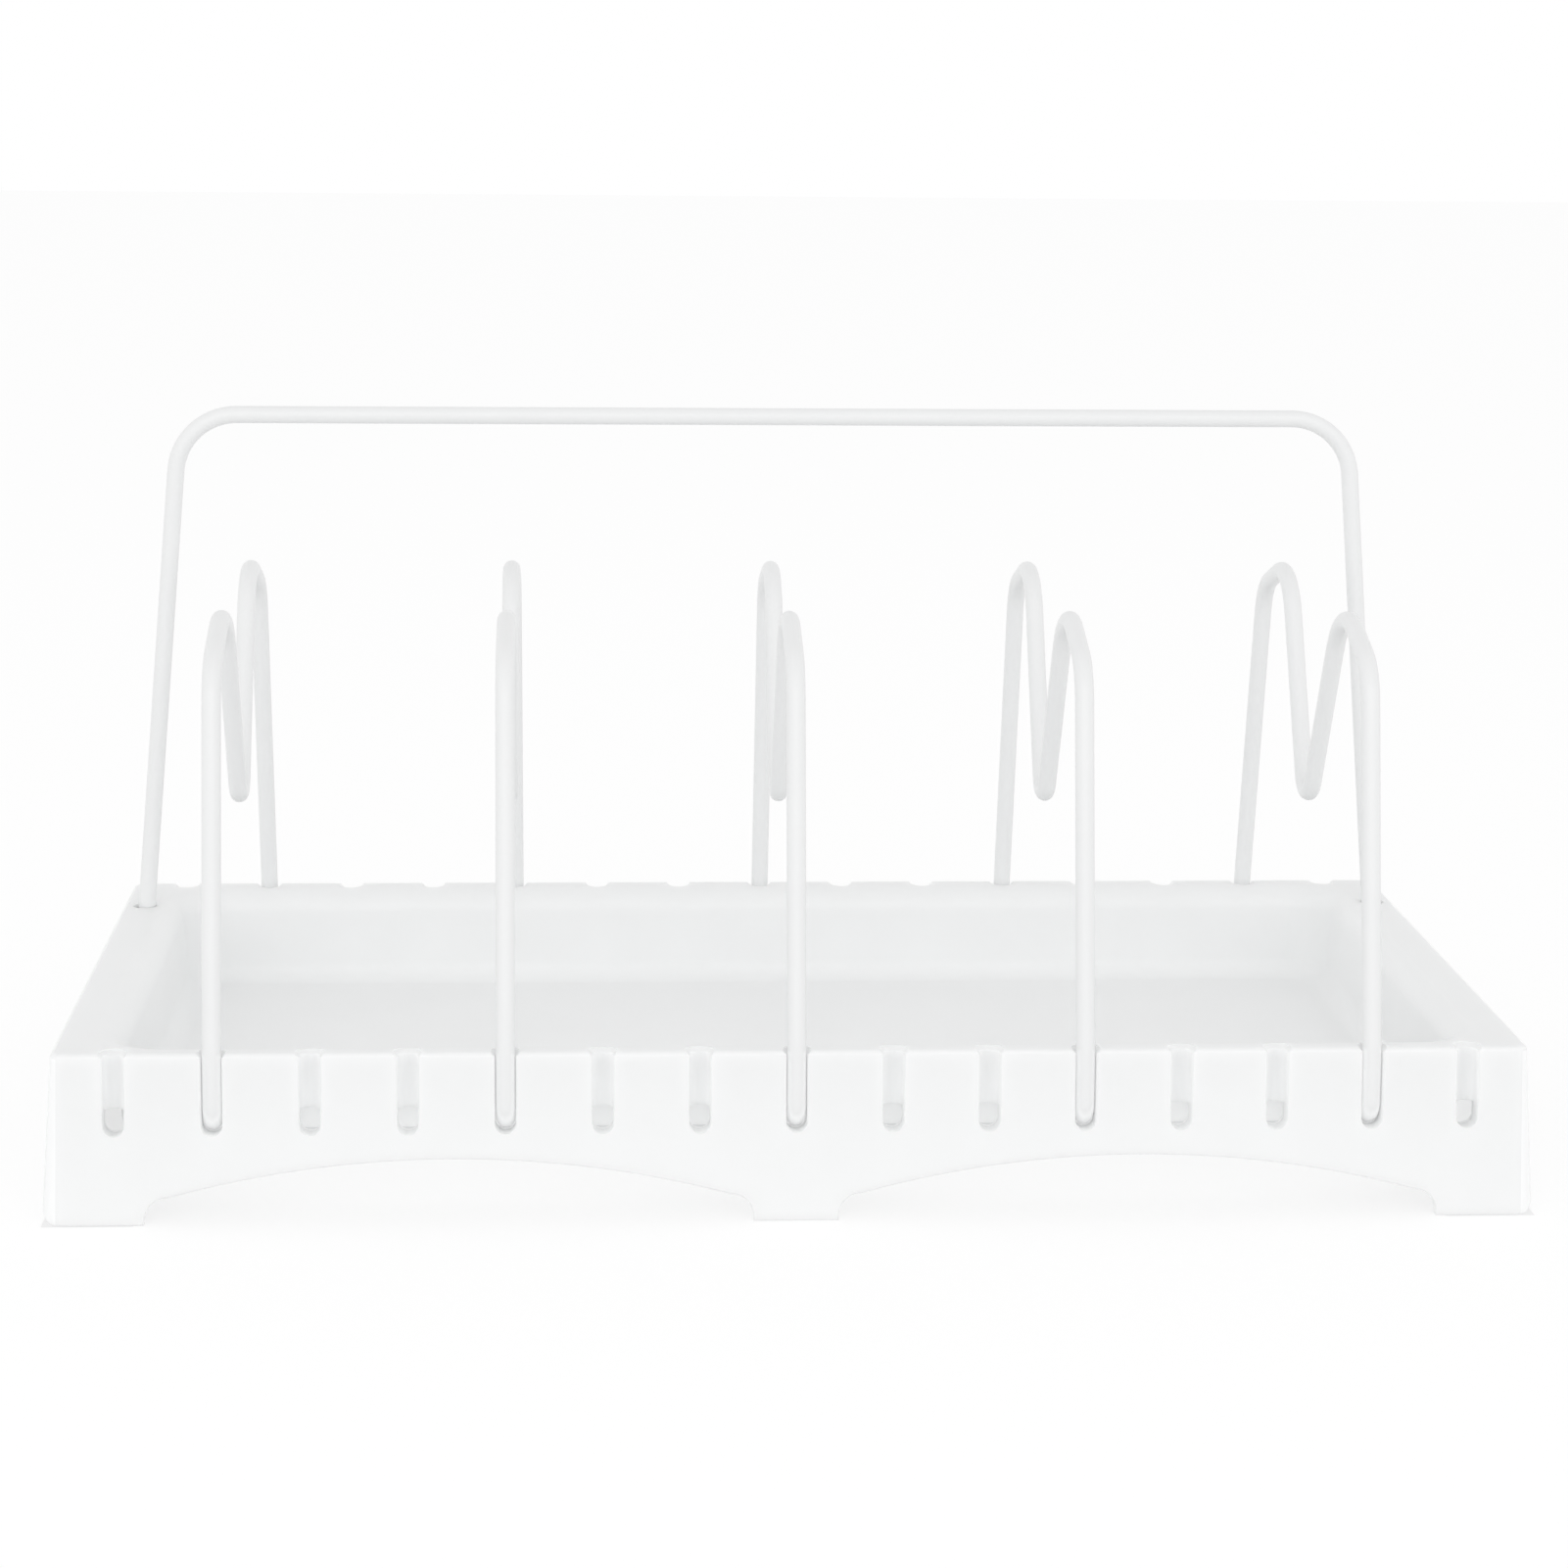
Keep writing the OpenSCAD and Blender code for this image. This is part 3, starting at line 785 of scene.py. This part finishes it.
class LIDRACK_OT_dividers(bpy.types.Operator):
    """Bends the five dividers, each as a front and a back half"""

    bl_idname = "lid_rack.dividers"
    bl_label = "Wire dividers"

    straight_step = 5 * MM
    turn_step = math.radians(6)
    # The way a flex would grow, across and up. It leans outwards, so that the valley would keep still.
    flex_way = (-1, -1.43)

    def execute(self, context):
        for node in DIVIDERS:
            for side, label in ((-1, "front"), (1, "back")):
                self.half(node, side, label)
        return {"FINISHED"}

    def corners(self):
        """Corners, as (across, up), and bend radii of the wire's front half, from the clip to the valley."""
        shape = TrayShape()
        s = shape.size
        w = shape.wires
        clip_z = s.hole_low + shape.groove_r
        inset = shape.groove_mid / math.cos(s.draft)
        foot_y = -(shape.half_w + (shape.height - clip_z) * shape.slope - inset)
        rim_y = inset - shape.half_w
        clip_y = foot_y + self.clip_length(shape)
        crest = (w.crest_in - shape.half_w, w.crest_height)
        shoulder = (w.shoulder_in - shape.half_w, w.crest_height - w.shoulder_drop)
        valley = (0.0, w.crest_height - w.valley_drop)
        points = [(clip_y, clip_z), (foot_y, clip_z), (rim_y, shape.height), shoulder, crest, valley]
        return points, [0, w.clip_bend, w.leg_bend, w.shoulder_bend, w.crest_bend, w.valley_bend, 0]

    def clip_length(self, shape):
        """Length of the clip that reaches in through its hole."""
        return self.back_wall(shape) + shape.wires.clip_reach

    def back_wall(self, shape):
        """Distance from the wire's middle to behind the groove's floor."""
        return shape.size.groove_depth - shape.groove_mid + shape.size.wall

    def half(self, node, side, label):
        """One half of a divider: the front half ends past the valley, where the back half starts."""
        x = sum(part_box(node), Vector()).x / 2
        points, bends = self.corners()
        crest, valley = Vector(points[-2]), Vector(points[-1])
        # Both halves meet halfway between the valley and the back crest
        seam = valley.lerp(crest, 0.5)
        if side < 0:
            points = points + [(-seam.x, seam.y)]
        else:
            points = points[:-1] + [tuple(seam)]
            bends = bends[:-2] + [0]
        run = wire_run(points, bends, self.straight_step, self.turn_step)
        made = wire_object(
            f"{node}_{label}_half", run, lambda across, up, out: (x + out, -side * across, up), True, False
        )
        leg = f"{node}_{label}_leg"
        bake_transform(made)
        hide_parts(node, leg)


class LIDRACK_OT_bow(bpy.types.Operator):
    """Bends the tall bow"""

    bl_idname = "lid_rack.bow"
    bl_label = "Wire bow"

    straight_step = 12 * MM
    turn_step = math.radians(5)

    def execute(self, context):
        w = context.scene.lid_rack_wires
        radius = w.thick / 2
        slope = math.tan(w.bow_lean)
        low = Vector((BOW_HIGH.x - radius * math.cos(w.bow_lean), TRAY_HIGH.z - w.bow_plug))
        top = BOW_HIGH.z - radius
        high = Vector((low.x - (top - low.y) * slope, top))
        points = [(-low.x, low.y), (-high.x, high.y), tuple(high), tuple(low)]
        run = wire_run(points, [0, w.bow_bend, w.bow_bend, 0], self.straight_step, self.turn_step)
        y = (BOW_LOW.y + BOW_HIGH.y) / 2
        bow = wire_object("lid_rack_bow", run, lambda across, up, out: (across, y + out, up), True, True)
        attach(bow, "bow")
        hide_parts("bow")
        return {"FINISHED"}


class LIDRACK_OT_stage(bpy.types.Operator):
    """Sets up the floor, the soft light and the camera"""

    bl_idname = "lid_rack.stage"
    bl_label = "Stage"

    floor_side = 12.0
    floor_gap = 0.2 * MM
    lamp_place = (-0.15, -2.2, 1.0)
    lamp_sides = (3.0, 1.4)
    # In millimetres, as cameras state it
    sensor_width = 36.0
    nearest_seen = 0.05

    def execute(self, context):
        stage = context.scene.lid_rack_stage
        context.scene.view_settings.view_transform = "Standard"
        self.floor(stage)
        self.sky(context.scene, stage)
        self.lamp(context.scene, stage)
        self.camera(context.scene, stage)
        return {"FINISHED"}

    def seen_directly(self, finish):
        """1 for rays from the camera and for mirrored or refracted ones, else 0."""
        camera = finish.node("ShaderNodeLightPath", output="Is Camera Ray")
        glossy = finish.node("ShaderNodeLightPath", output="Is Glossy Ray")
        through = finish.node("ShaderNodeLightPath", output="Is Transmission Ray")
        return finish.node("ShaderNodeMath", {"operation": "ADD", "use_clamp": True},
                           {0: camera, 1: glossy + through})

    def floor(self, stage):
        """A wide floor that looks white and keeps the object's shadow."""
        bm = bmesh.new()
        half = self.floor_side / 2
        corners = ((-half, -half), (half, -half), (half, half), (-half, half))
        bm.faces.new([bm.verts.new((x, y, -self.floor_gap)) for x, y in corners])
        floor = object_from(bm, "floor")
        material = bpy.data.materials.new("floor_white")
        material.use_nodes = True
        finish = Finish(material.node_tree)
        at = TrayDepths(finish, finish.node("ShaderNodeTexCoord", output="Object"))
        under_tray = finish.above(at.deep_x, 0.0) * finish.above(at.deep_y, 0.0)
        end_start = TRAY_HIGH.x - bpy.context.scene.lid_rack_tray.end_foot
        shaded = under_tray * finish.above(at.reach_x, end_start) * stage.end_shade
        seen = self.seen_directly(finish) * (1 - shaded)
        dim = [stage.floor_glow] * 3
        bright = [stage.floor_glow + stage.floor_lift] * 3
        surface = finish.node("ShaderNodeBsdfPrincipled", {}, {
            "Base Color": (*stage.floor, 1), "Roughness": 0.9, "Specular IOR Level": 0.0,
            "Emission Color": finish.blended(seen, dim, bright),
            "Emission Strength": 1.0
        })
        finish.node("ShaderNodeOutputMaterial", {}, {"Surface": surface})
        floor.data.materials.append(material)

    def sky(self, scene, stage):
        """Soft light from all round, strongest near the horizon and seen as plain white."""
        world = bpy.data.worlds.new("soft_sky")
        world.use_nodes = True
        scene.world = world
        finish = Finish(world.node_tree)
        way = finish.node("ShaderNodeTexCoord", output="Generated")
        height = finish.node("ShaderNodeSeparateXYZ", {}, {"Vector": way}, output="Z")
        overhead = finish.node("ShaderNodeMath", {"operation": "MAXIMUM"}, {0: height, 1: 0.0})
        light = stage.sky - overhead * stage.sky_fall
        seen = self.seen_directly(finish)
        strength = seen + light * (1 - seen)
        white = finish.node("ShaderNodeBackground", {}, {"Color": (1, 1, 1, 1), "Strength": strength})
        finish.node("ShaderNodeOutputWorld", {}, {"Surface": white})

    def lamp(self, scene, stage):
        """One large soft lamp in front."""
        data = bpy.data.lights.new("front_lamp", "AREA")
        data.shape = "RECTANGLE"
        data.size, data.size_y = self.lamp_sides
        data.energy = stage.key
        lamp = bpy.data.objects.new("front_lamp", data)
        scene.collection.objects.link(lamp)
        lamp.location = self.lamp_place
        aim = (FRAME_LOW + FRAME_HIGH) / 2 - lamp.location
        lamp.rotation_euler = aim.to_track_quat("-Z", "Y").to_euler()

    def camera(self, scene, stage):
        """The camera at the photograph's viewing angle."""
        cos_yaw, sin_yaw = math.cos(stage.yaw), math.sin(stage.yaw)
        cos_pitch, sin_pitch = math.cos(stage.pitch), math.sin(stage.pitch)
        ahead = Vector((sin_yaw * cos_pitch, cos_yaw * cos_pitch, -sin_pitch))
        level = Vector((cos_yaw, -sin_yaw, 0))
        upright = level.cross(ahead)
        right = math.cos(stage.roll) * level - math.sin(stage.roll) * upright
        up = math.sin(stage.roll) * level + math.cos(stage.roll) * upright
        data = bpy.data.cameras.new("camera")
        data.sensor_width = self.sensor_width
        data.lens = stage.focal_pixels * data.sensor_width / PHOTO_SIDE
        data.clip_start = self.nearest_seen
        camera = bpy.data.objects.new("camera", data)
        scene.collection.objects.link(camera)
        turn = Matrix((right, up, -ahead)).transposed().to_4x4()
        camera.matrix_world = Matrix.Translation(stage.camera_place) @ turn
        scene.camera = camera


class LIDRACK_PT_sidebar(bpy.types.Panel):
    """Lists the pieces and their sizes in the sidebar"""

    bl_idname = "LIDRACK_PT_sidebar"
    bl_label = "Pot lid organizer"
    bl_space_type = "VIEW_3D"
    bl_region_type = "UI"
    bl_category = PANEL_TAB

    def draw(self, context):
        for operator, group in STEPS:
            box = self.layout.box()
            box.operator(operator.bl_idname, text=operator.bl_label)
            settings = getattr(context.scene, group)
            for name in settings.__annotations__:
                box.prop(settings, name)


STEPS = (
    (LIDRACK_OT_tray, "lid_rack_tray"),
    (LIDRACK_OT_dividers, "lid_rack_wires"),
    (LIDRACK_OT_bow, "lid_rack_finishes"),
    (LIDRACK_OT_stage, "lid_rack_stage"),
)
GROUPS = {
    "lid_rack_tray": LidRackTray,
    "lid_rack_wires": LidRackWires,
    "lid_rack_finishes": LidRackFinishes,
    "lid_rack_stage": LidRackStage,
}
CLASSES = (*GROUPS.values(), *(operator for operator, group in STEPS), LIDRACK_PT_sidebar)


def register():
    for kind in CLASSES:
        bpy.utils.register_class(kind)
    for name, group in GROUPS.items():
        setattr(bpy.types.Scene, name, bpy.props.PointerProperty(type=group))


def unregister():
    for name in GROUPS:
        delattr(bpy.types.Scene, name)
    for kind in reversed(CLASSES):
        bpy.utils.unregister_class(kind)


def main():
    """Builds the whole object and its stage."""
    register()
    bpy.ops.lid_rack.tray()
    bpy.ops.lid_rack.dividers()
    bpy.ops.lid_rack.bow()
    bpy.ops.lid_rack.stage()


if __name__ == "__main__":
    main()
